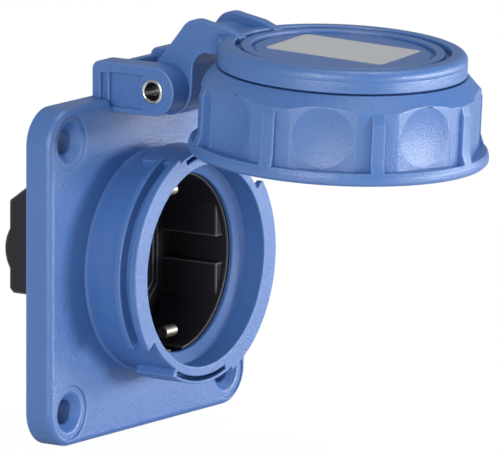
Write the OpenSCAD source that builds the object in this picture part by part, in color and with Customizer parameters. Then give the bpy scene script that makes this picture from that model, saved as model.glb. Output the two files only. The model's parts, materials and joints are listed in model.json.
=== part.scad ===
// Panel socket with a square flange, a bayonet collar, an earthed two-pin insert
// and a hinged lid that a turning bayonet ring locks.
// Frame: origin in the middle of the flange's mounting face, +Z up, front towards -Y.
// Inside front() the axes are X, Z and the distance in front of the mounting face.

/* [Flange] */
// Side of the square flange
flange_w = 75; // [72:0.5:84]
// Thickness of the flange
flange_t = 6.8; // [6.4:0.1:7]
// Radius of the flange's corners
flange_corner_r = 8; // [5:0.5:10]
// Radius that rounds the flange's front edge
flange_edge_r = 1.6; // [0.8:0.1:2]
// Distance between fixing holes, both ways
hole_pitch = 60; // [58:0.5:62]
// Diameter of the fixing holes
hole_d = 5.5; // [4.5:0.1:6]
// Diameter of the countersink at the flange's face
countersink_d = 9; // [8:0.1:10]
// Diameter of the shallow spot face around each fixing hole
spot_face_d = 12; // [11:0.1:12.5]
// Depth of the spot face
spot_face_depth = 0.4; // [0.2:0.1:0.8]

/* [Collar] */
// Radius of the collar's bore at the mouth
collar_bore_r = 22.4; // [22.2:0.1:22.6]
// Wall of the collar
collar_wall = 2; // [1.8:0.1:2.2]
// Distance from the mounting face to the collar's front
collar_front = 22; // [21.8:0.1:22.2]
// How far the bayonet flanges stand out of the collar
bayonet_out = 2.6; // [2.2:0.1:2.8]
// Thickness of the front bayonet flange
bayonet_t = 1.8; // [1.6:0.1:2]
// Thickness of the band behind the groove
band_t = 1.5; // [1.2:0.1:2]
// Width of the groove in which the ring's lugs run
groove_w = 2.5; // [2.4:0.1:2.7]
// Angle of the middle of the gap that lets a lug in
gap_angle = 48.7; // [46:0.1:50]
// Width of that gap, in degrees
gap_width = 25.4; // [24.4:0.2:27]
// Angle to which the bayonet flange runs under the collar
flange_end_angle = -68; // [-72:1:-62]
// Width of the flexing band above and below the collar, in degrees
skirt_width = 52; // [50.8:0.2:56]
// How far the flexing band stands out of the collar
skirt_out = 1.8; // [1.6:0.1:1.9]
// Thickness of the flexing band
skirt_t = 0.7; // [0.6:0.1:0.9]
// Length of the flexing band behind the collar's front
skirt_len = 10.2; // [8:0.2:12]
// Depth of the slot under the flexing band
slot_depth = 7; // [5:0.5:9]
// Size of the fillet at the collar's foot
collar_fillet = 0.5; // [0.3:0.1:0.8]
// Inner radius of the lip that covers the insert's rim
lip_r = 19.9; // [19.7:0.1:20.2]
// Height of the lip's cone at its foot
lip_front = 16.7; // [16.2:0.1:17]
// Height of the lip's cone at its edge
lip_edge = 15.2; // [15:0.1:15.6]
// Thickness of the lip at its edge
lip_t = 1; // [0.8:0.1:1.2]

/* [Hinge] */
// Distance of the hinge pin in front of the mounting face
hinge_out = 17.3; // [17.1:0.1:17.5]
// Height of the hinge pin above the flange's top edge
hinge_rise = 2.7; // [2.6:0.1:3.1]
// Width of the hinge block over both cheeks
hinge_w = 28; // [26.5:0.5:30]
// Thickness of each cheek
cheek_t = 5.8; // [5:0.1:6.4]
// Radius of the cheeks' nose around the pin
nose_r = 5.5; // [5.2:0.1:5.8]
// Distance of the hinge block's back from the mounting face
hinge_back = 1; // [0.6:0.1:1.4]
// Thickness of the hinge block's back wall
back_wall = 1.8; // [1.4:0.1:2.4]
// How far the back wall's top lies below the cheeks' tops
back_wall_drop = 1.6; // [0.8:0.1:2.4]
// Radius of the cheeks' back top corner
cheek_corner_r = 2; // [1:0.1:3]
// Depth of the recesses in the cheeks' outer faces
cheek_recess = 0.9; // [0.5:0.1:1.4]
// Outer diameter of the tubular pin
pin_d = 4.9; // [4.5:0.1:5]
// Bore of the tubular pin
pin_bore_d = 3.9; // [3.2:0.1:4]
// Diameter of the pin's rolled rims
pin_rim_d = 5.7; // [5.5:0.1:6]
// Clearance between the pin and its bores, on the radius
pin_play = 0.05; // [0.02:0.01:0.08]
// Opening angle of the lid as it stands, from closed
lid_open = 87; // [80:1:95]
// Side play of the lid's arm between the cheeks
arm_play = 0.3; // [0.2:0.05:0.5]

/* [Lid] */
// Radius of the lid's disc
lid_r = 27.25; // [26.9:0.05:27.4]
// Distance from the mounting face to the lid's outer rim, closed
lid_top = 31.5; // [31.2:0.1:32]
// Distance from the mounting face to the underside of the lid's rim, closed
lid_under = 26.5; // [26.4:0.1:26.7]
// Radius of the rounded edge of the lid's disc
lid_edge_r = 1.8; // [1.2:0.1:2.2]
// Radius of the sunk middle of the lid
sunk_r = 19.3; // [18:0.1:19.6]
// Depth of the sunk middle below the rim
sunk_depth = 0.9; // [0.6:0.1:1.2]
// Radius of the lid arm's hub around the pin
hub_r = 6; // [5.6:0.1:6.2]
// Width of each rib along the arm
arm_rib_t = 2.4; // [2:0.1:3]
// How far the web between the ribs lies below them
arm_channel = 1.8; // [1.2:0.1:2.4]
// Height of the arm's hump above the pin
arm_peak = 16.3; // [15.8:0.1:16.6]
// Depth of the hollow under the lid's disc
lid_hollow = 2; // [1:0.1:2.4]

/* [Seal carrier] */
// Radius of the carrier's neck inside the ring
neck_r = 25; // [24.8:0.1:25.1]
// Radius of the carrier's lip that holds the ring
carrier_r = 26.8; // [26.5:0.1:27.2]
// Inner radius of the lid seal
lid_seal_r1 = 22; // [21.9:0.1:22.2]
// Outer radius of the lid seal
lid_seal_r2 = 24.5; // [24.3:0.1:24.5]
// Gap between the closed lid's seal and the collar's front
seal_gap = 0.3; // [0.2:0.05:0.4]
// Radius on which the carrier's screws lie
carrier_screw_r = 15; // [13:0.5:16]

/* [Bayonet ring] */
// Radius of the ring's grip wall
ring_r = 31.7; // [31.4:0.05:31.9]
// Radius of the ring's foot
ring_foot_r = 32.85; // [32.6:0.05:33]
// Inner radius of the ring's wall
ring_bore_r = 28.2; // [28:0.05:28.3]
// Inner radius of the ring's mouth
ring_mouth_r = 30.9; // [30.7:0.05:31]
// Distance from the mounting face to the ring's foot, closed
ring_foot = 7.2; // [7.1:0.1:7.5]
// Radius of the ring's cone at its top
ring_top_r = 27.7; // [27.4:0.1:28]
// Height of the top cone
ring_cone_h = 3.4; // [3:0.1:3.8]
// Height of the steeper shoulder below the cone
ring_shoulder_h = 2.1; // [1.6:0.1:2.6]
// Number of grip fields round the ring
grips = 8; // [6:1:12]
// Angle of a grip rib
grip_angle = 49.5; // [46:0.5:54]
// Width of the ribs between the grip fields
grip_rib_w = 3; // [2:0.1:4]
// Depth of the flat grip fields
grip_field = 0.9; // [0.5:0.1:1.1]
// Depth of the flat thumb panels below the wall
thumb_flat = 1.85; // [1.6:0.05:1.95]
// Width of the thumb panels
thumb_w = 14; // [11:0.5:15]
// Depth of the round dish in each thumb panel
thumb_dish = 0.7; // [0.4:0.1:0.8]
// Radius of the dish's outline
thumb_dish_r = 6.6; // [5:0.2:6.6]
// Distance from the ring's foot to the bottom of the grip fields
grip_floor = 2.9; // [2.6:0.1:4]
// Angle that each locking lug takes up
lug_width = 20; // [16:0.5:20.5]
// Axial play of the lugs in the collar's groove
lug_play = 0.2; // [0.15:0.05:0.4]

/* [Insert] */
// Radius of the well that takes the plug
well_r = 19.5; // [19.3:0.1:19.6]
// Distance from the mounting face back to the well's floor
well_floor = 1.5; // [1:0.1:2.5]
// Width across the sunk octagon in the floor
floor_octagon = 29; // [26:0.5:30]
// Depth of each of the octagon's two steps
floor_step = 0.5; // [0.3:0.1:0.6]
// Thickness of the well's floor
floor_t = 2.4; // [2:0.1:3]
// Distance of the flat guide faces from the middle
guide_x = 16.7; // [16:0.1:17.2]
// Width of the groove between the guide blocks
guide_groove = 6; // [5:0.2:7]
// Distance from the mounting face to the guide blocks' front
guide_front = 12.9; // [12:0.1:13.4]
// Distance between the plug pins
pin_pitch = 19; // [18.8:0.1:19.2]
// Diameter of the pin holes in the floor
pin_hole_d = 5.4; // [5.2:0.1:5.8]
// Width of the earth strip
earth_w = 4; // [3:0.2:5]
// Thickness of the earth strip
earth_t = 0.8; // [0.6:0.1:1]
// Distance of the earth contacts' rolled noses from the middle
earth_nose = 14.5; // [14.2:0.1:15]
// Radius of the rolled noses
earth_roll_r = 1.3; // [1.1:0.1:1.5]
// Distance of the insert's screws from the middle
insert_screw_x = 28.6; // [28:0.1:29.2]
// Play between the insert and the flange housing
insert_play = 0.2; // [0.1:0.05:0.3]

/* [Terminal housing] */
// Width of the terminal housing
term_w = 37; // [36:0.5:40]
// Top of the terminal housing above the middle
term_top = 16.5; // [15.5:0.1:17.5]
// Bottom of the terminal housing below the middle
term_bottom = 7.6; // [7.4:0.1:8.4]
// Distance from the mounting face to the terminal housing's back
term_back = 18; // [17.6:0.1:20]
// Wall of the terminal housing
term_wall = 1.6; // [1.4:0.1:2]
// Chamfer along the terminal housing's back top edge
term_chamfer = 3.4; // [2:0.1:4]
// Height of the half-round bead across the back
bead_h = 9; // [7:0.5:10]
// Height of the bead's middle
bead_z = 2.3; // [2:0.1:2.6]
// Width of the cable entry in the bottom wall
entry_w = 12; // [8:0.5:14]
// Length of the cable entry
entry_l = 7; // [5:0.5:7]
// How far the bead stands out of the back
bead_out = 1.3; // [1:0.1:1.6]

/* [Hidden] */

blue = [0.32, 0.43, 0.76];
black = [0.09, 0.09, 0.10];
rubber = [0.16, 0.16, 0.17];
brass = [0.80, 0.66, 0.36];
steel = [0.78, 0.79, 0.80];
eps = 0.01;          // overlap that joins parts of one solid
cut = 1;             // how far a cutter runs past a face
$fn = 96;

hinge_up = flange_w / 2 + hinge_rise;         // height of the pin above the collar's middle
collar_r = collar_bore_r + collar_wall;
bayonet_r = collar_r + bayonet_out;
skirt_r = collar_r + skirt_out;
groove_front = collar_front - bayonet_t;
groove_back = groove_front - groove_w;
flange_start_angle = gap_angle - gap_width / 2;
skirt_start_angle = gap_angle + gap_width / 2;
arm_w = hinge_w - 2 * cheek_t - 2 * arm_play;
pin_r = pin_d / 2;
pin_hole_r = pin_r + pin_play;

recess_r = 26.6;                              // recess behind the collar for the insert's foot
recess_depth = 4;
foot_r = recess_r - insert_play;
foot_front = recess_depth - 1;                // front of the insert's foot, under its seal
shell_r = collar_bore_r - insert_play;        // outside of the insert's shell
shell_front = lip_edge - lip_t - 0.1;
ear_r = 3.8;
post_r = 2.5;
post_gap = 0.8;
cover_screw_x = term_w / 2 - term_wall - post_gap - post_r;
cover_screw_z = 9.5;
cover_screw_len = 10;
channel_depth = 1.2;
screw_pilot_r = 1.25;
screw_hole_r = 1.7;
seal_groove_r = 33.2;                         // groove for the panel seal
seal_w = 3.2;
seal_depth = 1.6;
floor_back = well_floor + floor_t;
contact_x = pin_pitch / 2;
term_front = floor_back + 0.1;
inner_back = term_back - term_wall;
contact_d = 6.6;
contact_bore_d = 4.8;
contact_slit = 0.7;
contact_block = 7.2;                          // width of the terminal block on each contact
contact_block_h = 8;
contact_block_t = 3.6;
earth_block = 6.8;
earth_block_t = 2.6;
terminal_z = 9.5;                             // height of the earth terminal
terminal_hole_r = 1.45;
terminal_shank_r = 1.42;
terminal_head_r = 2.7;
shank_len = 4;
clamp_t = 1;
clamp_w = 6.8;
clamp_h = 7.6;
clamp_hole_r = 1.8;
screw_head_r = 2.8;                           // small countersunk screws
screw_taper = 0.5;
screw_cone_h = 1.6;
slot_w = 0.7;
slot_t = 0.8;
slot_len = 4;
screw_head_h = 1.8;
terminal_head = inner_back - screw_head_h - 0.4;
block_back = terminal_head - 1.2;

carrier_top = lid_under - 0.05;
seal_face = collar_front + seal_gap;
carrier_face = seal_face + 0.3;
carrier_lip_top = carrier_face + 1.5;
carrier_pocket = 2;                           // depth of the pockets for the carrier's screws
ring_flange_under = carrier_lip_top + 0.3;
ring_top = lid_under - 0.3;
ring_shoulder = ring_top - ring_cone_h - ring_shoulder_h;
grip_bottom = ring_foot + grip_floor;
dish_z = grip_bottom + thumb_dish_r + 0.5;

// X, Z and distance in front of the mounting face
module front() { rotate([90, 0, 0]) children(); }

// the lid's pieces are drawn closed, and swing open about the hinge pin
module swung() {
  translate([0, -hinge_out, hinge_up])
    rotate([-lid_open, 0, 0])
      translate([0, hinge_out, -hinge_up]) front() children();
}

function arc(cx, cy, r, a0, a1, n = 10) =
  [for (i = [0:n]) let (a = a0 + (a1 - a0) * i / n) [cx + r * cos(a), cy + r * sin(a)]];

module tube(r1, r2, z0, z1) {
  translate([0, 0, z0]) difference() {
    cylinder(r = r2, h = z1 - z0);
    translate([0, 0, -cut]) cylinder(r = r1, h = z1 - z0 + 2 * cut);
  }
}

// part of a ring between two angles
module sector(r1, r2, z0, z1, a0, a1) {
  rotate([0, 0, a0]) rotate_extrude(angle = a1 - a0)
    translate([r1, z0]) square([r2 - r1, z1 - z0]);
}

module rounded_square(w, r) {
  for (sx = [-1, 1], sy = [-1, 1])
    translate([sx * (w / 2 - r), sy * (w / 2 - r)]) circle(r);
  square([w, w - 2 * r], center = true);
  square([w - 2 * r, w], center = true);
}

// ---------- flange housing ----------

module flange_edge_cutter() {
  half = flange_w / 2;
  profile = concat([[cut, cut], [cut, -flange_edge_r], [0, -flange_edge_r]],
                   arc(-flange_edge_r, -flange_edge_r, flange_edge_r, 0, 90, 6),
                   [[-flange_edge_r, cut]]);
  for (k = [0:3]) rotate([0, 0, 90 * k]) {
    translate([half, flange_w / 2 - flange_corner_r, flange_t])
      rotate([90, 0, 0]) linear_extrude(flange_w - 2 * flange_corner_r) polygon(profile);
    translate([half - flange_corner_r, half - flange_corner_r, flange_t])
      rotate_extrude(angle = 90) translate([flange_corner_r, 0]) polygon(profile);
  }
}

module flange_plate() {
  difference() {
    linear_extrude(flange_t) rounded_square(flange_w, flange_corner_r);
    flange_edge_cutter();
  }
}

module collar() {
  tube(collar_bore_r, collar_r, flange_t - 1, collar_front);
  root = collar_fillet + 0.5;
  rotate_extrude() polygon([[collar_r - 0.5, flange_t - 0.5], [collar_r + root, flange_t - 0.5],
    [collar_r - 0.5, flange_t + root]]);
  rotate_extrude() polygon([[lip_r, lip_edge - lip_t], [lip_r, lip_edge], [collar_bore_r, lip_front],
    [collar_bore_r + 0.5, lip_front], [collar_bore_r + 0.5, lip_edge - lip_t]]);
  for (half = [0, 180]) rotate([0, 0, half]) {
    sector(collar_r - collar_wall / 4, bayonet_r, groove_front, collar_front, flange_end_angle, flange_start_angle);
    sector(collar_r - collar_wall / 4, bayonet_r, groove_back - band_t, groove_back, flange_end_angle, flange_start_angle);
    difference() {
      sector(collar_r - collar_wall / 3, skirt_r, collar_front - skirt_len, collar_front,
             skirt_start_angle, skirt_start_angle + skirt_width);
      sector(collar_r + 0.12, skirt_r - skirt_t, collar_front - slot_depth, collar_front + cut,
             skirt_start_angle + 2.5, skirt_start_angle + skirt_width - 6);
    }
  }
}

// outline of a hinge cheek: X is the height, Y the distance forward
module cheek_outline() {
  top = hinge_up + nose_r;
  translate([hinge_up, hinge_out]) circle(nose_r);
  translate([hinge_up - nose_r, hinge_back]) square([2 * nose_r - cheek_corner_r, hinge_out - hinge_back]);
  translate([hinge_up - nose_r, hinge_back + cheek_corner_r])
    square([2 * nose_r, hinge_out - hinge_back - cheek_corner_r]);
  translate([top - cheek_corner_r, hinge_back + cheek_corner_r]) circle(cheek_corner_r);
}

// slot for the lid's arm, with the back wall left standing up to its lower top
module arm_slot() {
  slot_w2 = arm_w + 2 * arm_play;
  wall_front = hinge_back + back_wall;
  reach = 3 * nose_r;
  translate([-slot_w2 / 2, 0, 0]) rotate([90, 0, 90]) linear_extrude(slot_w2) polygon([
    [hinge_up + nose_r - back_wall_drop, -cut], [hinge_up + reach, -cut], [hinge_up + reach, hinge_out + reach],
    [hinge_up - reach, hinge_out + reach], [hinge_up - reach, flange_t], [flange_w / 2, flange_t],
    [flange_w / 2, wall_front], [hinge_up + nose_r - back_wall_drop, wall_front]]);
}

module hinge_block() {
  difference() {
    translate([-hinge_w / 2, 0, 0]) rotate([90, 0, 90]) linear_extrude(hinge_w) cheek_outline();
    arm_slot();
  }
}

module cheek_recesses() {
  for (s = [-1, 1]) {
    x0 = s > 0 ? hinge_w / 2 - cheek_recess : -hinge_w / 2 - cut;
    depth = cheek_recess + cut;
    difference() {
      translate([x0, hinge_up - nose_r + 1.1, flange_t - 1.2]) cube([depth, 7.6, hinge_out - flange_t - 1.8]);
      translate([x0 - cut, hinge_up, hinge_out]) rotate([0, 90, 0]) cylinder(r = 4.1, h = depth + 2 * cut);
    }
    translate([x0, hinge_up - 3, 3.2]) cube([depth, 5.9, 1.7]);
  }
}

module fixing_hole() {
  translate([0, 0, -cut]) cylinder(d = hole_d, h = flange_t + 2 * cut);
  sink = (countersink_d - hole_d) / 2;
  floor_z = flange_t - spot_face_depth;
  translate([0, 0, floor_z - sink]) cylinder(d1 = hole_d, d2 = countersink_d, h = sink);
  translate([0, 0, floor_z - eps]) cylinder(d = countersink_d, h = eps + cut);
  translate([0, 0, floor_z]) cylinder(d = spot_face_d, h = spot_face_depth + cut);
}

module flange_housing() {
  color(blue) front() difference() {
    union() {
      flange_plate();
      collar();
      hinge_block();
    }
    translate([0, 0, -cut]) cylinder(r = collar_bore_r, h = lip_edge - lip_t + cut);
    translate([0, 0, -cut]) cylinder(r = recess_r, h = recess_depth + cut);
    for (s = [-1, 1]) {
      translate([s * insert_screw_x, 0, -cut]) cylinder(r = ear_r + insert_play, h = recess_depth + cut);
      translate([s * insert_screw_x, 0, -cut]) cylinder(r = screw_pilot_r, h = flange_t - 0.8 + cut);
    }
    translate([-insert_screw_x, -ear_r - insert_play, -cut])
      cube([2 * insert_screw_x, 2 * (ear_r + insert_play), recess_depth + cut]);
    tube(seal_groove_r, seal_groove_r + seal_w, -cut, seal_depth);
    for (sx = [-1, 1], sy = [-1, 1]) translate([sx * hole_pitch / 2, sy * hole_pitch / 2, 0]) fixing_hole();
    translate([-hinge_w / 2 - cut, hinge_up, hinge_out]) rotate([0, 90, 0])
      cylinder(r = pin_hole_r, h = hinge_w + 2 * cut);
    cheek_recesses();
  }
}

// ---------- seals ----------

module panel_seal() {
  color(rubber) front() tube(seal_groove_r + 0.1, seal_groove_r + seal_w - 0.1, 0.05, seal_depth - 0.05);
}

module insert_seal() {
  color(rubber) front() tube(shell_r + 0.5, insert_screw_x - ear_r - 0.4,
                             foot_front + 0.02, recess_depth - 0.02);
}

module lid_seal() {
  color(rubber) swung() {
    tube(lid_seal_r1, lid_seal_r2, seal_face, carrier_lip_top - 0.05);
  }
}

// ---------- insert ----------

module guide_blocks() {
  for (s = [0, 180]) rotate([0, 0, s]) difference() {
    translate([0, 0, -well_floor - eps]) intersection() {
      cylinder(r = well_r + eps, h = guide_front + well_floor + eps);
      translate([guide_x, -well_r, 0]) cube([well_r, 2 * well_r, guide_front + well_floor + eps]);
    }
    translate([guide_x - cut, -guide_groove / 2, -well_floor]) cube([well_r, guide_groove, 3 * well_r]);
  }
}

module octagon(w) {
  intersection() {
    square([w, w], center = true);
    rotate([0, 0, 45]) square([1.12 * w, 1.12 * w], center = true);
  }
}

module socket_insert() {
  color(black) front() difference() {
    union() {
      translate([0, 0, -floor_back]) cylinder(r = shell_r, h = shell_front + floor_back);
      translate([0, 0, insert_play]) cylinder(r = foot_r, h = foot_front - insert_play);
      for (s = [-1, 1]) translate([s * insert_screw_x, 0, 2]) cylinder(r = ear_r, h = recess_depth - 2.05);
      translate([-insert_screw_x, -ear_r, 2]) cube([2 * insert_screw_x, 2 * ear_r, foot_front - 2]);
      // posts for the cover's screws
      for (s = [-1, 1]) translate([s * cover_screw_x, cover_screw_z, -inner_back + 0.1])
        cylinder(r = post_r, h = inner_back - floor_back);
    }
    difference() {
      translate([0, 0, -well_floor]) cylinder(r = well_r, h = 4 * well_r);
      guide_blocks();
    }
    // two steps sunk into the floor
    for (k = [0, 1]) translate([0, 0, -well_floor - floor_step * (k + 1)]) linear_extrude(floor_step + eps)
      octagon(floor_octagon - 2 * k);
    // recesses and floor slots for the earth contacts
    for (s = [0, 180]) rotate([0, 0, s])
      translate([-earth_w / 2 - 0.3, 0, -well_floor]) cube([earth_w + 0.6, well_r + 1.3, 3 * well_r]);
    for (s = [-1, 1]) {
      translate([-earth_w / 2 - 0.3, s * (well_r + 0.4) - 1, -floor_back - cut])
        cube([earth_w + 0.6, 2, floor_t + 2 * cut]);
      translate([s * contact_x, 0, -floor_back - cut]) cylinder(d = pin_hole_d, h = floor_t + 2 * cut);
      translate([s * insert_screw_x, 0, 0]) cylinder(r = screw_hole_r, h = recess_depth + cut);
      translate([s * insert_screw_x, 0, -cut]) cylinder(r = screw_head_r + insert_play, h = 2 + cut);
      translate([s * cover_screw_x, cover_screw_z, -inner_back - cut])
        cylinder(r = screw_pilot_r, h = cover_screw_len);
    }
    // channel behind the floor for the earth strip
    translate([-earth_w / 2 - 0.3, -well_r, -floor_back - cut]) cube([earth_w + 0.6, 2 * well_r, channel_depth + cut]);
  }
}

// small countersunk screw with a cross slot, its head towards -Z
module small_screw(head_z, length) {
  difference() {
    union() {
      translate([0, 0, head_z]) cylinder(r1 = screw_head_r - screw_taper, r2 = screw_head_r, h = screw_cone_h);
      translate([0, 0, head_z]) cylinder(r = screw_pilot_r - 0.02, h = length);
    }
    for (turn = [0, 90]) rotate([0, 0, turn])
      translate([-slot_w / 2, -slot_len / 2, head_z - cut]) cube([slot_w, slot_len, slot_t + cut]);
  }
}

module insert_screws() {
  color(steel) front() for (s = [-1, 1]) translate([s * insert_screw_x, 0, 0])
    small_screw(2 - screw_cone_h - 0.02, flange_t - screw_cone_h);
}

// ---------- contacts and terminals behind the floor ----------

module contact(s) {
  color(brass) front() translate([s * contact_x, 0, 0]) difference() {
    union() {
      translate([0, 0, -block_back + 1]) cylinder(d = contact_d, h = block_back - 1 - floor_back - 0.1);
      translate([-contact_block / 2, -contact_block_h / 2, -block_back])
        cube([contact_block, contact_block_h, contact_block_t]);
    }
    translate([0, 0, -block_back + contact_block_t + 0.8]) cylinder(d = contact_bore_d, h = block_back);
    translate([-contact_slit / 2, -contact_block_h, -block_back + contact_block_t + 1.4])
      cube([contact_slit, 2 * contact_block_h, block_back]);
    translate([0, 0, -block_back - cut]) cylinder(r = terminal_hole_r, h = cut + 3);
  }
}

module clamp_at(x, z) {
  color(steel) front() translate([x, z, -terminal_head + 0.05]) difference() {
    translate([-clamp_w / 2, -clamp_h / 2, 0]) cube([clamp_w, clamp_h, clamp_t]);
    translate([0, 0, -cut]) cylinder(r = clamp_hole_r, h = clamp_t + 2 * cut);
    // grooves that grip the wire
    for (s = [-1, 1]) translate([-clamp_w, s * clamp_h / 3, clamp_t]) rotate([0, 90, 0])
      cylinder(r = clamp_t / 2.5, h = 2 * clamp_w);
  }
}

module clamp_left() { clamp_at(-contact_x, 0); }
module clamp_right() { clamp_at(contact_x, 0); }
module clamp_earth() { clamp_at(0, terminal_z); }

module terminal_screw() {
  head = terminal_head + screw_head_h;
  difference() {
    union() {
      translate([0, 0, -head]) cylinder(r = terminal_head_r, h = screw_head_h);
      translate([0, 0, -terminal_head - eps]) cylinder(r = terminal_shank_r, h = shank_len);
    }
    translate([-terminal_head_r - cut, -slot_w / 2, -head - cut])
      cube([2 * terminal_head_r + 2 * cut, slot_w, screw_head_h / 2 + cut]);
  }
}

module terminal_screws() {
  color(steel) front() {
    for (s = [-1, 1]) translate([s * contact_x, 0, 0]) terminal_screw();
    translate([0, terminal_z, 0]) terminal_screw();
  }
}

// a strip of sheet along points in the plane of the height and the distance forward
module strip(points, w, t) {
  rotate([90, 0, 90]) translate([0, 0, -w / 2]) linear_extrude(w) {
    for (i = [0:len(points) - 2]) {
      d = points[i + 1] - points[i];
      translate(points[i]) rotate([0, 0, atan2(d[1], d[0])])
        translate([0, -t / 2]) square([norm(d), t]);
    }
    for (p = points) translate(p) circle(d = 1.04 * t, $fn = 24);
  }
}

module earth_strip() {
  leg = well_r + earth_t / 2;
  base = floor_back - channel_depth + earth_t / 2 + 0.1;
  roll_z = earth_nose + earth_roll_r;
  color(brass) front() difference() {
    union() {
      for (m = [0, 1]) mirror([0, m, 0]) {
        strip([[0, -base], [leg, -base], [leg, guide_front / 5], [roll_z + earth_roll_r / 2, 0.7 * guide_front]],
              earth_w, earth_t);
        strip([[roll_z + earth_roll_r / 2, 0.7 * guide_front],
               [roll_z + earth_roll_r / 2, guide_front - earth_roll_r]], earth_w, earth_t);
        translate([-earth_w / 2, roll_z, guide_front - earth_roll_r]) rotate([0, 90, 0])
          cylinder(r = earth_roll_r, h = earth_w);
      }
      translate([-earth_block / 2, terminal_z - contact_block_h / 2, -block_back])
        cube([earth_block, contact_block_h, earth_block_t]);
      translate([-earth_w / 2, terminal_z - contact_block_h / 2, -block_back + earth_block_t / 2])
        cube([earth_w, earth_t, block_back - earth_block_t / 2 - base]);
    }
    translate([0, terminal_z, -block_back - cut]) cylinder(r = terminal_hole_r, h = earth_block_t + 2 * cut);
  }
}

// ---------- terminal housing ----------

module term_profile(inset, back) {
  top = term_top - inset;
  bottom = -term_bottom + inset;
  c = term_chamfer - inset / 2;
  polygon([[bottom + 1, -back], [bottom, -back + 1], [bottom, -term_front], [top, -term_front],
           [top, -back + c + 1.2], [top - c, -back]]);
}

module terminal_housing() {
  color(black) front() difference() {
    union() {
      rotate([90, 0, 90]) translate([0, 0, -term_w / 2]) linear_extrude(term_w) term_profile(0, term_back);
      // half-round bead across the back
      bead_r = (bead_h * bead_h / 4 + bead_out * bead_out) / (2 * bead_out);
      intersection() {
        translate([-term_w / 2, bead_z, -term_back - bead_out + bead_r]) rotate([0, 90, 0])
          cylinder(r = bead_r, h = term_w);
        translate([-term_w / 2, -term_bottom, -term_back - 2 * bead_out])
          cube([term_w, term_top + term_bottom, 2 * bead_out + 0.5]);
      }
    }
    rotate([90, 0, 90]) translate([0, 0, -term_w / 2 + term_wall]) linear_extrude(term_w - 2 * term_wall)
      translate([0, cut]) term_profile(term_wall, inner_back + cut);
    // screwdriver holes behind the terminal screws
    for (s = [-1, 1]) translate([s * contact_x, 0, -term_back - 2 * bead_out])
      cylinder(r = terminal_head_r + 0.3, h = 4 * bead_out);
    translate([0, terminal_z, -term_back - 2 * bead_out]) cylinder(r = terminal_head_r + 0.3, h = 4 * bead_out);
    // cable entry through the bottom wall
    translate([-entry_w / 2, -term_bottom - cut, -inner_back + 2]) cube([entry_w, term_wall + 2 * cut, entry_l]);
    for (s = [-1, 1]) translate([s * cover_screw_x, cover_screw_z, -term_back - cut])
      cylinder(r = screw_hole_r, h = 2 * term_wall);
  }
}

module cover_screws() {
  color(steel) front() for (s = [-1, 1]) translate([s * cover_screw_x, cover_screw_z, 0])
    small_screw(-term_back - screw_cone_h - 0.02, cover_screw_len);
}

// ---------- hinge pin ----------

module hinge_pin() {
  half = hinge_w / 2;
  rim = (pin_rim_d - pin_bore_d) / 4;
  mid = (pin_rim_d + pin_bore_d) / 4;
  color(steel) front() translate([0, hinge_up, hinge_out]) rotate([0, 90, 0]) {
    tube(pin_bore_d / 2, pin_r, -half - 0.06, half + 0.06);
    for (s = [-1, 1]) translate([0, 0, s * (half + 0.05)]) rotate_extrude()
      translate([mid, 0]) intersection() {
        circle(rim);
        translate([-rim, s > 0 ? 0 : -rim]) square([2 * rim, rim]);
      }
  }
}

// ---------- lid ----------

module lid_disc() {
  top = lid_top;
  rotate_extrude() polygon(concat(
    [[0, lid_under], [lid_r, lid_under], [lid_r, top - 2.6]],
    arc(lid_r - lid_edge_r, top - lid_edge_r, lid_edge_r, -20, 90, 8),
    [[23.7, top], [23.7, top - 1.6], [22.3, top - 1.6], [22.3, top - 0.3], [sunk_r + 0.9, top - 0.3],
     [sunk_r + 0.9, top - sunk_depth - 0.5], [sunk_r, top - sunk_depth - 0.5],
     [sunk_r, top - sunk_depth], [0, top - sunk_depth]]));
}

// outline of the arm: X is the distance down from the pin, Y the distance out of it
function arm_outline(peak, reach) = concat(
  arc(0, 0, hub_r, 135, 360, 18),
  [[hub_r, 5]],
  arc(hub_r + 4, 5.2, 4, 180, 100, 8),
  [[hub_r + 7.5, 9.4], [reach, 9.4], [reach, lid_top - hinge_out - 0.2], [0.78 * reach, peak - 0.9]],
  arc(7, peak - 5, 5, 75, 138, 8));

module arm_slice(x0, x1, peak, reach) {
  translate([x0, hinge_up, hinge_out]) rotate([90, 0, 90]) linear_extrude(x1 - x0)
    mirror([1, 0]) polygon(arm_outline(peak, reach));
}

module lid_arm() {
  half = arm_w / 2;
  arm_slice(-half, -half + arm_rib_t, arm_peak, 18.5);
  arm_slice(half - arm_rib_t, half, arm_peak, 18.5);
  arm_slice(-half + arm_rib_t - eps, half - arm_rib_t + eps, arm_peak - arm_channel, 15);
  // flared foot where the arm runs into the disc
  translate([0, 0, hinge_out + 9.4]) linear_extrude(lid_top - hinge_out - 9.4 - 0.4) difference() {
    translate([-half - 4, hinge_up - 16.5]) square([2 * half + 8, 6]);
    for (s = [-1, 1]) translate([s * (half + 6), hinge_up - 9.6]) circle(6);
  }
}

module lid() {
  color(blue) swung() difference() {
    union() {
      lid_disc();
      lid_arm();
    }
    translate([-arm_w, hinge_up, hinge_out]) rotate([0, 90, 0]) cylinder(r = pin_hole_r, h = 2 * arm_w);
    // hollow under the disc, with a boss for each screw
    difference() {
      translate([0, 0, lid_under - cut]) cylinder(r = 21.5, h = lid_hollow + cut);
      for (k = [0:2]) rotate([0, 0, 90 + 120 * k]) translate([carrier_screw_r, 0, 0]) cylinder(r = 3, h = lid_top);
      translate([0, 0, 0]) cylinder(r = 3, h = lid_top);
    }
    for (k = [0:2]) rotate([0, 0, 90 + 120 * k])
      translate([carrier_screw_r, 0, lid_under - cut]) cylinder(r = screw_pilot_r, h = 3 + cut);
  }
}

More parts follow.
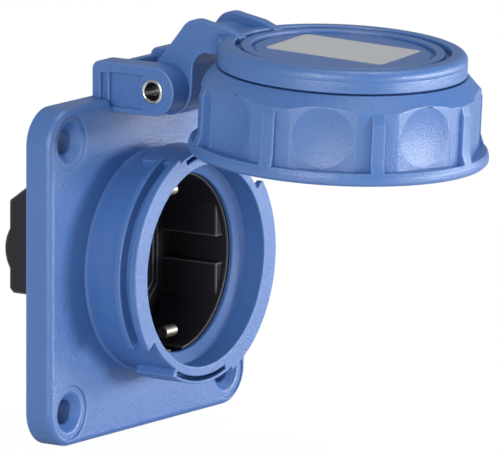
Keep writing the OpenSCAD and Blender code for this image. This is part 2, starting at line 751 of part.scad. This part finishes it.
module seal_carrier() {
  color(blue) swung() difference() {
    union() {
      translate([0, 0, carrier_lip_top - eps]) cylinder(r = neck_r, h = carrier_top - carrier_lip_top + eps);
      translate([0, 0, carrier_face]) cylinder(r = carrier_r, h = carrier_lip_top - carrier_face);
    }
    tube(lid_seal_r1 - 0.1, lid_seal_r2 + 0.1, carrier_face - cut, carrier_lip_top);
    translate([0, 0, carrier_face - cut]) cylinder(r = lid_seal_r1 - 1.6, h = cut + 1.5);
    for (k = [0:2]) rotate([0, 0, 90 + 120 * k]) translate([carrier_screw_r, 0, 0]) {
      cylinder(r = screw_hole_r, h = lid_top);
      cylinder(r = screw_head_r + 0.3, h = carrier_face + carrier_pocket);
    }
  }
}

module carrier_screws() {
  color(steel) swung() for (k = [0:2]) rotate([0, 0, 90 + 120 * k]) translate([carrier_screw_r, 0, 0])
    small_screw(carrier_face + carrier_pocket - screw_cone_h - 0.02, lid_under + 1.6 - carrier_face);
}

// ---------- bayonet ring ----------

module ring_body() {
  rotate_extrude() polygon([
    [neck_r + 0.3, ring_flange_under], [neck_r + 0.3, ring_top], [ring_top_r, ring_top],
    [ring_r - 0.9, ring_top - ring_cone_h], [ring_r, ring_shoulder], [ring_r, ring_foot + 5.2],
    [ring_foot_r, ring_foot + 1.8], [ring_foot_r, ring_foot + 0.7], [ring_foot_r - 0.7, ring_foot],
    [ring_mouth_r, ring_foot], [ring_bore_r, ring_foot + 4.2], [ring_bore_r, ring_flange_under]]);
}

module ring_lugs() {
  for (half = [0, 180]) rotate([0, 0, half])
    sector(collar_r + 0.4, ring_bore_r + 0.4, groove_back + lug_play, groove_front - lug_play,
           gap_angle - lug_width / 2, gap_angle + lug_width / 2);
}

module grip_fields() {
  field = 360 / grips;
  rib = asin(grip_rib_w / 2 / ring_r);
  panel = ring_r - thumb_flat;
  sphere_r = (thumb_dish_r * thumb_dish_r + thumb_dish * thumb_dish) / (2 * thumb_dish);
  for (k = [0:grips - 1]) rotate([0, 0, grip_angle + field * k]) {
    sector(ring_r - grip_field, ring_foot_r + cut, grip_bottom, ring_top + cut, rib, field - rib);
    rotate([0, 0, field / 2]) {
      translate([panel, -thumb_w / 2, grip_bottom]) cube([ring_foot_r, thumb_w, ring_top]);
      intersection() {
        translate([panel - thumb_dish + sphere_r, 0, dish_z]) sphere(sphere_r);
        translate([panel - cut, -thumb_w / 2 + 0.2, grip_bottom + 0.2]) cube([2 * cut, thumb_w - 0.4, ring_top]);
      }
    }
  }
}

module bayonet_ring() {
  color(blue) swung() {
    difference() {
      ring_body();
      grip_fields();
    }
    ring_lugs();
  }
}

flange_housing();
panel_seal();
insert_seal();
socket_insert();
terminal_housing();
contact(-1);  // contact_left
contact(1);  // contact_right
earth_strip();
clamp_left();
clamp_right();
clamp_earth();
terminal_screws();
insert_screws();
cover_screws();
hinge_pin();
lid();
seal_carrier();
carrier_screws();
lid_seal();
bayonet_ring();
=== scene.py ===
import json
import math

import bmesh
import bpy
from mathutils import Matrix, Vector


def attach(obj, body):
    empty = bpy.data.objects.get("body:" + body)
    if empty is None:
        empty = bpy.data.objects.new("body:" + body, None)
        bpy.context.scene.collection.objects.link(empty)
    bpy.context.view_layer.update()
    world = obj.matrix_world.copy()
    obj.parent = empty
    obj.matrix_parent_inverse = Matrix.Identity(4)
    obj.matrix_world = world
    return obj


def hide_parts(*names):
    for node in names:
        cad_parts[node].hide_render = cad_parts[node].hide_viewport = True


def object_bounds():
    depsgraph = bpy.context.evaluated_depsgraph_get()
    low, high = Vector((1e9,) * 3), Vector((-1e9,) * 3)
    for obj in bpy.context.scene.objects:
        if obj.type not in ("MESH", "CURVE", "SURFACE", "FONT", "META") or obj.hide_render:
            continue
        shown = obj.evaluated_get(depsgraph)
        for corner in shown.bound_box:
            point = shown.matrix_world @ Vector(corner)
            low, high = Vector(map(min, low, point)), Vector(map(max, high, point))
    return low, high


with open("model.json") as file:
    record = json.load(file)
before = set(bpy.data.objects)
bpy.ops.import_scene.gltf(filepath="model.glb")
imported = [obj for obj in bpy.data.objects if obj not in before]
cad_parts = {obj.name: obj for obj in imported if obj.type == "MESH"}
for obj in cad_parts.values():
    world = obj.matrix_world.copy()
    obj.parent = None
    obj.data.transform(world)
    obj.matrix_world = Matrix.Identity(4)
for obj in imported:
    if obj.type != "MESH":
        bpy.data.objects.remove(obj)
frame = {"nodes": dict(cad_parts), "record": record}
cadLow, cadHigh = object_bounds()
nodes = frame["nodes"]


cameraValues = {
    "azimuth": -55.293,
    "elevation": 10.287,
    "roll": 0.194,
    "target": (0.048490, 0.0, -0.000652),
    "distance": 3.0,
    "lens": 965.96,
    "sensor": 36.0,
}


def placeCamera(values):
    azimuth = math.radians(values["azimuth"])
    elevation = math.radians(values["elevation"])
    roll = math.radians(values["roll"])
    back = Vector((math.sin(azimuth) * math.cos(elevation), -math.cos(azimuth) * math.cos(elevation),
                   math.sin(elevation)))
    level = Vector((math.cos(azimuth), math.sin(azimuth), 0.0))
    rise = back.cross(level)
    right = math.cos(roll) * level + math.sin(roll) * rise
    up = -math.sin(roll) * level + math.cos(roll) * rise
    data = bpy.data.cameras.new("camera")
    data.lens = values["lens"]
    data.sensor_width = values["sensor"]
    data.clip_start = 0.1
    data.clip_end = 50.0
    camera = bpy.data.objects.new("camera", data)
    bpy.context.collection.objects.link(camera)
    spot = Vector(values["target"]) + back * values["distance"]
    camera.matrix_world = Matrix((
        (right.x, up.x, back.x, spot.x),
        (right.y, up.y, back.y, spot.y),
        (right.z, up.z, back.z, spot.z),
        (0.0, 0.0, 0.0, 1.0)))
    bpy.context.scene.camera = camera


placeCamera(cameraValues)
print("camera placed")


def newGroup(name, inputs, outputs):
    group = bpy.data.node_groups.new(name, "ShaderNodeTree")
    for label, kind, value in inputs:
        socket = group.interface.new_socket(name=label, in_out="INPUT", socket_type=kind)
        if value is not None:
            socket.default_value = value
    for label, kind in outputs:
        group.interface.new_socket(name=label, in_out="OUTPUT", socket_type=kind)
    return group, group.nodes.new("NodeGroupInput"), group.nodes.new("NodeGroupOutput")


def addMath(tree, operation, first, second, clamp=False):
    node = tree.nodes.new("ShaderNodeMath")
    node.operation = operation
    node.use_clamp = clamp
    for index, value in enumerate((first, second)):
        if isinstance(value, (int, float)):
            node.inputs[index].default_value = value
        else:
            tree.links.new(value, node.inputs[index])
    return node.outputs[0]


def addNoise(tree, vector, scale, detail, roughness=0.5):
    node = tree.nodes.new("ShaderNodeTexNoise")
    node.inputs["Detail"].default_value = detail
    node.inputs["Roughness"].default_value = roughness
    tree.links.new(vector, node.inputs["Vector"])
    if isinstance(scale, (int, float)):
        node.inputs["Scale"].default_value = scale
    else:
        tree.links.new(scale, node.inputs["Scale"])
    return node.outputs["Fac"]


# shares of the fine and the coarse grain in the height, the coarse grain's scale against the fine one's,
# and the fine grain's share in the tone
grainMix = {"fine": 0.75, "coarse": 0.5, "coarseScale": 0.22, "fineTone": 0.6}


def buildMouldedGrain(mix):
    # spark-eroded mould grain: fine height, cloudy tone and gloss
    group, entry, exitNode = newGroup("mouldedGrain", [
        ("Vector", "NodeSocketVector", None),
        ("Grain Scale", "NodeSocketFloat", 3200.0),
        ("Cloud Scale", "NodeSocketFloat", 60.0),
        ("Tone", "NodeSocketFloat", 0.06),
        ("Gloss", "NodeSocketFloat", 0.36),
        ("Gloss Spread", "NodeSocketFloat", 0.08)],
        [("Height", "NodeSocketFloat"), ("Shade", "NodeSocketFloat"), ("Roughness", "NodeSocketFloat")])
    vector = entry.outputs["Vector"]
    fine = addNoise(group, vector, entry.outputs["Grain Scale"], 3.0, 0.6)
    coarseScale = addMath(group, "MULTIPLY", entry.outputs["Grain Scale"], mix["coarseScale"])
    coarse = addNoise(group, vector, coarseScale, 2.0)
    height = addMath(group, "ADD", addMath(group, "MULTIPLY", fine, mix["fine"]),
                     addMath(group, "MULTIPLY", coarse, mix["coarse"]))
    cloud = addNoise(group, vector, entry.outputs["Cloud Scale"], 4.0)
    offset = addMath(group, "SUBTRACT", cloud, 0.5)
    fineOffset = addMath(group, "SUBTRACT", fine, 0.5)
    speckle = addMath(group, "MULTIPLY", fineOffset, mix["fineTone"])
    toneShift = addMath(group, "MULTIPLY", addMath(group, "ADD", offset, speckle), entry.outputs["Tone"])
    shade = addMath(group, "ADD", 0.5, toneShift)
    glossShift = addMath(group, "MULTIPLY", addMath(group, "ADD", offset, fineOffset),
                         entry.outputs["Gloss Spread"])
    rough = addMath(group, "ADD", entry.outputs["Gloss"], glossShift, clamp=True)
    group.links.new(height, exitNode.inputs["Height"])
    group.links.new(shade, exitNode.inputs["Shade"])
    group.links.new(rough, exitNode.inputs["Roughness"])
    return group


highlightPatch = {"scale": 260.0, "base": 0.7}


def buildEdgeHighlight(patch):
    # outer corners, where little material lies behind the surface: a painted highlight, paler along the edges
    group, entry, exitNode = newGroup("edgeHighlight", [
        ("Vector", "NodeSocketVector", None),
        ("Reach", "NodeSocketFloat", 0.0005),
        ("Amount", "NodeSocketFloat", 0.5)],
        [("Mask", "NodeSocketFloat")])
    behind = group.nodes.new("ShaderNodeAmbientOcclusion")
    behind.inside = True
    behind.only_local = True
    behind.samples = 8
    group.links.new(entry.outputs["Reach"], behind.inputs["Distance"])
    thin = addMath(group, "SUBTRACT", 1.0, behind.outputs["AO"])
    breakUp = addMath(group, "ADD", patch["base"],
                      addNoise(group, entry.outputs["Vector"], patch["scale"], 2.0))
    mask = addMath(group, "MULTIPLY", addMath(group, "MULTIPLY", thin, breakUp),
                   entry.outputs["Amount"], clamp=True)
    group.links.new(mask, exitNode.inputs["Mask"])
    return group


mouldedGrain = buildMouldedGrain(grainMix)
edgeHighlight = buildEdgeHighlight(highlightPatch)


def newMaterial(name):
    material = bpy.data.materials.new(name)
    material.use_nodes = True
    tree = material.node_tree
    coordinates = tree.nodes.new("ShaderNodeTexCoord")
    return material, tree, tree.nodes["Principled BSDF"], coordinates.outputs["Object"]


def mixColors(tree, factor, first, second):
    mix = tree.nodes.new("ShaderNodeMix")
    mix.data_type = "RGBA"
    tree.links.new(factor, mix.inputs["Factor"])
    for socket, value in ((mix.inputs[6], first), (mix.inputs[7], second)):  # the color sockets A and B
        if isinstance(value, tuple):
            socket.default_value = (*value, 1.0)
        else:
            tree.links.new(value, socket)
    return mix.outputs[2]


def plasticMaterial(name, values):
    material, tree, shader, vector = newMaterial(name)
    grain = tree.nodes.new("ShaderNodeGroup")
    grain.node_tree = mouldedGrain
    tree.links.new(vector, grain.inputs["Vector"])
    for label in ("Grain Scale", "Cloud Scale", "Tone", "Gloss", "Gloss Spread"):
        grain.inputs[label].default_value = values[label]
    color = mixColors(tree, grain.outputs["Shade"], values["dark"], values["light"])
    # painted highlight: outer edges mixed towards a paler colour
    highlight = tree.nodes.new("ShaderNodeGroup")
    highlight.node_tree = edgeHighlight
    tree.links.new(vector, highlight.inputs["Vector"])
    highlight.inputs["Amount"].default_value = values["edge"]
    color = mixColors(tree, highlight.outputs["Mask"], color, values["edgeHighlightColor"])
    tree.links.new(color, shader.inputs["Base Color"])
    tree.links.new(grain.outputs["Roughness"], shader.inputs["Roughness"])
    bump = tree.nodes.new("ShaderNodeBump")
    bump.inputs["Strength"].default_value = values["bump"]
    bump.inputs["Distance"].default_value = values["bumpDepth"]
    tree.links.new(grain.outputs["Height"], bump.inputs["Height"])
    tree.links.new(bump.outputs["Normal"], shader.inputs["Normal"])
    shader.inputs["Specular IOR Level"].default_value = values["specular"]
    return material


stainShare = 0.12         # size of a metal's stains against its lines
metalBumpDepth = 0.00002


def metalMaterial(name, values):
    material, tree, shader, vector = newMaterial(name)
    stretch = tree.nodes.new("ShaderNodeMapping")
    stretch.inputs["Scale"].default_value = values["stretch"]
    tree.links.new(vector, stretch.inputs["Vector"])
    lines = addNoise(tree, stretch.outputs["Vector"], values["scale"], 4.0, 0.6)
    stain = addNoise(tree, vector, values["scale"] * stainShare, 3.0)
    tree.links.new(mixColors(tree, stain, values["dark"], values["light"]), shader.inputs["Base Color"])
    roughShift = addMath(tree, "MULTIPLY", lines, values["spread"])
    rough = addMath(tree, "ADD", values["roughness"], roughShift, clamp=True)
    tree.links.new(rough, shader.inputs["Roughness"])
    shader.inputs["Metallic"].default_value = 1.0
    bump = tree.nodes.new("ShaderNodeBump")
    bump.inputs["Strength"].default_value = values["bump"]
    bump.inputs["Distance"].default_value = metalBumpDepth
    tree.links.new(lines, bump.inputs["Height"])
    tree.links.new(bump.outputs["Normal"], shader.inputs["Normal"])
    return material


# edgeHighlightColor and edge give the colour and amount of the painted highlight along outer edges
bluePlasticValues = {
    "dark": (0.046, 0.134, 0.385),
    "light": (0.070, 0.180, 0.465),
    "edgeHighlightColor": (0.27, 0.44, 0.80),
    "edge": 0.6,
    "Grain Scale": 2600.0,
    "Cloud Scale": 55.0,
    "Tone": 0.5,
    "Gloss": 0.33,
    "Gloss Spread": 0.14,
    "bump": 1.0,
    "bumpDepth": 0.00015,
    "specular": 0.9,
}
blackPlasticValues = {
    "dark": (0.015, 0.014, 0.019),
    "light": (0.026, 0.025, 0.031),
    "edgeHighlightColor": (0.30, 0.30, 0.32),
    "edge": 1.0,
    "Grain Scale": 2400.0,
    "Cloud Scale": 90.0,
    "Tone": 0.6,
    "Gloss": 0.46,
    "Gloss Spread": 0.12,
    "bump": 0.3,
    "bumpDepth": 0.00004,
    "specular": 0.3,
}
rubberValues = {
    "dark": (0.014, 0.014, 0.015),
    "light": (0.030, 0.030, 0.032),
    "edgeHighlightColor": (0.05, 0.05, 0.05),
    "edge": 0.3,
    "Grain Scale": 1800.0,
    "Cloud Scale": 120.0,
    "Tone": 0.8,
    "Gloss": 0.72,
    "Gloss Spread": 0.15,
    "bump": 0.3,
    "bumpDepth": 0.00005,
    "specular": 0.3,
}
brassValues = {"dark": (0.34, 0.30, 0.22), "light": (0.62, 0.57, 0.46), "stretch": (1.0, 6.0, 1.0),
               "scale": 900.0, "roughness": 0.34, "spread": 0.18, "bump": 0.25}
zincValues = {"dark": (0.46, 0.47, 0.48), "light": (0.70, 0.71, 0.71), "stretch": (1.0, 1.0, 5.0),
              "scale": 800.0, "roughness": 0.26, "spread": 0.2, "bump": 0.3}
nickelValues = {"dark": (0.66, 0.66, 0.67), "light": (0.86, 0.86, 0.86), "stretch": (5.0, 1.0, 1.0),
                "scale": 700.0, "roughness": 0.10, "spread": 0.12, "bump": 0.15}
labelValues = {
    "dark": (0.46, 0.48, 0.51),
    "light": (0.54, 0.56, 0.59),
    "edgeHighlightColor": (0.62, 0.63, 0.65),
    "edge": 0.2,
    "Grain Scale": 1500.0,
    "Cloud Scale": 200.0,
    "Tone": 0.4,
    "Gloss": 0.42,
    "Gloss Spread": 0.10,
    "bump": 0.08,
    "bumpDepth": 0.00002,
    "specular": 0.4,
}

bluePlastic = plasticMaterial("bluePlastic", bluePlasticValues)
blackPlastic = plasticMaterial("blackPlastic", blackPlasticValues)
sealRubber = plasticMaterial("sealRubber", rubberValues)
labelFilm = plasticMaterial("labelFilm", labelValues)
brassMetal = metalMaterial("brassMetal", brassValues)
zincSteel = metalMaterial("zincSteel", zincValues)
nickelTube = metalMaterial("nickelTube", nickelValues)
slotMaterials = {
    "blue_plastic": bluePlastic,
    "black_plastic": blackPlastic,
    "seal_rubber": sealRubber,
    "contact_brass": brassMetal,
    "zinc_steel": zincSteel,
    "nickel_pin": nickelTube,
}
slotOfNode = {part["node"]: part["material_slot"] for part in frame["record"]["subparts"]}
print("materials made")


shadingValues = {"smoothAngle": 32.0, "flatAngle": 5.0, "flatCorners": 8, "flatArea": 0.000005}
mergeValues = {"distance": 0.000002, "flatAngle": 0.6}


def isFlat(face):
    return len(face.verts) >= shadingValues["flatCorners"] and face.calc_area() > shadingValues["flatArea"]


def markEdges(shape):
    # curved faces shade smoothly, and broad flat faces keep their own direction up to their edges
    for face in shape.faces:
        face.smooth = True
    for edge in shape.edges:
        if len(edge.link_faces) != 2:
            continue
        angle = math.degrees(edge.calc_face_angle(0.0))
        besideFlat = angle > shadingValues["flatAngle"] and any(isFlat(face) for face in edge.link_faces)
        edge.smooth = angle < shadingValues["smoothAngle"] and not besideFlat


def finishPiece(name, shape, material, body):
    markEdges(shape)
    mesh = bpy.data.meshes.new(name)
    shape.to_mesh(mesh)
    shape.free()
    mesh.materials.append(material)
    piece = bpy.data.objects.new(name, mesh)
    bpy.context.collection.objects.link(piece)
    weighted = piece.modifiers.new("evenNormals", "WEIGHTED_NORMAL")
    weighted.keep_sharp = True
    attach(piece, body)
    return piece


def copyNode(node, shortest):
    # the CAD solid's triangles, merged and turned back into flat faces
    shape = bmesh.new()
    shape.from_mesh(nodes[node].data)
    for face in shape.faces:
        face.material_index = 0
    bmesh.ops.remove_doubles(shape, verts=shape.verts, dist=mergeValues["distance"])
    bmesh.ops.dissolve_degenerate(shape, dist=shortest, edges=shape.edges)
    bmesh.ops.dissolve_limit(shape, angle_limit=math.radians(mergeValues["flatAngle"]),
                             use_dissolve_boundaries=False, verts=shape.verts, edges=shape.edges,
                             delimit=set())
    return shape


def roundEdges(shape, width, segments, angle, slide):
    # outer corners only, because rounded inner corners would make faces overlap
    edges = [edge for edge in shape.edges if len(edge.link_faces) == 2 and edge.is_convex
             and edge.calc_face_angle(0.0) > math.radians(angle)]
    bmesh.ops.bevel(shape, geom=edges, offset=width, offset_type="OFFSET", segments=segments, profile=0.5,
                    affect="EDGES", clamp_overlap=False, material=-1, loop_slide=slide)


# edge is the rounding of the outer corners, angle the lowest corner that is rounded,
# and edges below shortest are merged first
dressValues = {
    "flange_housing": {"piece": "flangeShell", "body": "housing", "edge": 0.00028, "segments": 3, "angle": 34,
                       "shortest": 0.00003, "slide": False},
    "lid": {"piece": "lidShell", "body": "lid", "edge": 0.00030, "segments": 3, "angle": 34,
            "shortest": 0.0001, "slide": False},
    "bayonet_ring": {"piece": "gripRing", "body": "ring", "edge": 0.00015, "segments": 2, "angle": 16,
                     "shortest": 0.0001, "slide": False},
    "socket_insert": {"piece": "insertCup", "body": "housing", "edge": 0.00016, "segments": 2, "angle": 34,
                      "shortest": 0.00003, "slide": False},
    "terminal_housing": {"piece": "terminalCover", "body": "housing", "edge": 0.00022, "segments": 3,
                         "angle": 30, "shortest": 0.0001, "slide": True},
    "seal_carrier": {"piece": "carrierDisc", "body": "lid", "edge": 0.00020, "segments": 2, "angle": 34,
                     "shortest": 0.0001, "slide": False},
}

for node, values in dressValues.items():
    shape = copyNode(node, values["shortest"])
    roundEdges(shape, values["edge"], values["segments"], values["angle"], values["slide"])
    slotName = slotOfNode[node]
    piece = finishPiece(values["piece"], shape, slotMaterials[slotName], values["body"])
    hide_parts(node)
    print("dressed", node, len(piece.data.polygons), "faces")

# the CAD's own solids, for the nodes that stay as they are
for name, node in nodes.items():
    for index in range(len(node.material_slots)):
        node.material_slots[index].material = slotMaterials[slotOfNode[name]]


labelSizes = {
    "length": 0.0285,      # along the arm
    "width": 0.0195,
    "corner": 0.0012,
    "thickness": 0.00014,
    "turn": 7.0,           # degrees, as the label is not quite in line with the arm
    "aside": 0.0012,
    "towardsArm": 0.0008,
    "cornerSegments": 5,
    "sunkLevel": 0.0306,   # level of the lid's sunk middle, closed, in front of the flange's back
    "lift": 0.00001,
}
lidHinge = next(joint for joint in frame["record"]["behaviour"]["joints"] if joint["name"] == "lid_hinge")
pinSpot = Vector(lidHinge["pos_m"])
openTurn = Matrix.Rotation(math.radians(-lidHinge["range_deg"][1]), 4, "X")


def makeLabel(values):
    shape = bmesh.new()
    bmesh.ops.create_grid(shape, x_segments=1, y_segments=1, size=0.5)
    bmesh.ops.scale(shape, vec=(values["width"], values["length"], 1.0), verts=shape.verts)
    bmesh.ops.bevel(shape, geom=list(shape.verts), offset=values["corner"], offset_type="OFFSET",
                    segments=values["cornerSegments"], profile=0.5, affect="VERTICES", material=-1)
    top = bmesh.ops.extrude_face_region(shape, geom=list(shape.faces))
    risen = [item for item in top["geom"] if isinstance(item, bmesh.types.BMVert)]
    bmesh.ops.translate(shape, vec=(0, 0, values["thickness"]), verts=risen)
    bmesh.ops.recalc_face_normals(shape, faces=shape.faces)
    closedSpot = Vector((values["aside"], -values["sunkLevel"] + values["lift"], values["towardsArm"]))
    closedPlace = (Matrix.Translation(closedSpot) @ Matrix.Rotation(math.radians(90), 4, "X")
                   @ Matrix.Rotation(math.radians(values["turn"]), 4, "Z"))
    place = Matrix.Translation(pinSpot) @ openTurn @ Matrix.Translation(-pinSpot) @ closedPlace
    bmesh.ops.transform(shape, matrix=place, verts=shape.verts)
    return finishPiece("labelField", shape, labelFilm, "lid")


makeLabel(labelSizes)
print("label made")


lightValues = {
    "rightLamp": {"place": (0.86, -0.70, 0.04), "size": (0.4, 0.4), "power": 6.0},
    "frontLamp": {"place": (0.32, -1.02, -0.02), "size": (0.3, 0.3), "power": 12.0},
    "leftLamp": {"place": (-1.00, -0.30, 0.30), "size": (0.4, 0.6), "power": 6.0},
    "topLamp": {"place": (0.20, -0.20, 0.95), "size": (0.4, 0.4), "power": 2.5},
}
worldValues = {"light": 0.36, "seen": 1.0, "reflected": 0.3}
aim = Vector((0.0, -0.03, 0.01))


def addLamp(name, values):
    data = bpy.data.lights.new(name, "AREA")
    data.shape = "RECTANGLE"
    data.size, data.size_y = values["size"]
    data.energy = values["power"]
    lamp = bpy.data.objects.new(name, data)
    bpy.context.collection.objects.link(lamp)
    lamp.location = values["place"]
    lamp.rotation_euler = (aim - Vector(values["place"])).to_track_quat("-Z", "Y").to_euler()


for name, values in lightValues.items():
    addLamp(name, values)


def lightWorld(values):
    world = bpy.data.worlds.new("studio")
    bpy.context.scene.world = world
    world.use_nodes = True
    tree = world.node_tree
    background = tree.nodes["Background"]
    background.inputs["Color"].default_value = (1, 1, 1, 1)
    path = tree.nodes.new("ShaderNodeLightPath")
    light = values["light"]
    seen = addMath(tree, "MULTIPLY", path.outputs["Is Camera Ray"], values["seen"] - light)
    reflected = addMath(tree, "MULTIPLY", path.outputs["Is Glossy Ray"], values["reflected"] - light)
    strength = addMath(tree, "ADD", light, addMath(tree, "ADD", seen, reflected))
    tree.links.new(strength, background.inputs["Strength"])


lightWorld(worldValues)
# glow is the white that the camera alone sees, and the rest of the floor keeps the part's shadow
floorValues = {"halfSize": 6.0, "drop": 0.0002, "tone": 0.86, "roughness": 0.9, "specular": 0.1,
               "glow": 1.06, "glowShare": 0.9}


def makeFloor(values):
    shape = bmesh.new()
    bmesh.ops.create_grid(shape, x_segments=1, y_segments=1, size=values["halfSize"])
    mesh = bpy.data.meshes.new("floor")
    shape.to_mesh(mesh)
    shape.free()
    floor = bpy.data.objects.new("floor", mesh)
    bpy.context.collection.objects.link(floor)
    floor.location = (0, 0, cadLow[2] - values["drop"])
    material = bpy.data.materials.new("paleFloor")
    material.use_nodes = True
    tree = material.node_tree
    shader = tree.nodes["Principled BSDF"]
    shader.inputs["Base Color"].default_value = (values["tone"], values["tone"], values["tone"], 1)
    shader.inputs["Roughness"].default_value = values["roughness"]
    shader.inputs["Specular IOR Level"].default_value = values["specular"]
    glow = tree.nodes.new("ShaderNodeEmission")
    glow.inputs["Strength"].default_value = values["glow"]
    mix = tree.nodes.new("ShaderNodeMixShader")
    lightPath = tree.nodes.new("ShaderNodeLightPath")
    share = addMath(tree, "MULTIPLY", lightPath.outputs["Is Camera Ray"], values["glowShare"])
    tree.links.new(share, mix.inputs["Fac"])
    tree.links.new(shader.outputs["BSDF"], mix.inputs[1])
    tree.links.new(glow.outputs["Emission"], mix.inputs[2])
    tree.links.new(mix.outputs["Shader"], tree.nodes["Material Output"].inputs["Surface"])
    mesh.materials.append(material)


makeFloor(floorValues)
bpy.context.scene.view_settings.view_transform = "Standard"
print("light and floor set")
